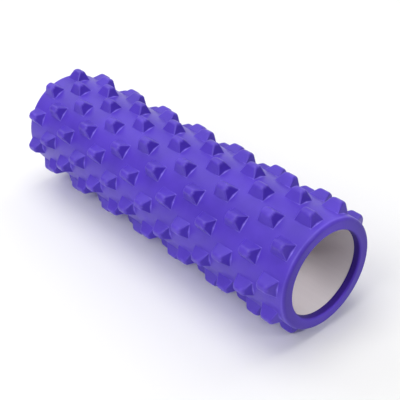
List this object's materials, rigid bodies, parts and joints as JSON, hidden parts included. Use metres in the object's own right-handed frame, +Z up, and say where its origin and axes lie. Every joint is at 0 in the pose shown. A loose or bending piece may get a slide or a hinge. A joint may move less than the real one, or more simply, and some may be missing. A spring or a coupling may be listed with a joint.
{
  "type": "foam roller",
  "caption": "Hollow massage roller: a studded, moulded foam sleeve with rounded ends over a rigid core tube, lying on its side.",
  "frame": {"origin": "on the resting surface, midway along the roller, straight below its axis", "axes": "+X along the roller's axis, +Z up from the surface it lies on, +Y to the left of +X"},
  "size_m": [0.45, 0.1432, 0.1431],
  "materials": {
    "foam_sleeve": "satin violet EVA foam skin",
    "core_tube": "satin off-white rigid plastic"
  },
  "bodies": {
    "root": {"foam_sleeve": "foam_sleeve", "core_tube": "core_tube"}
  },
  "joints": []
}
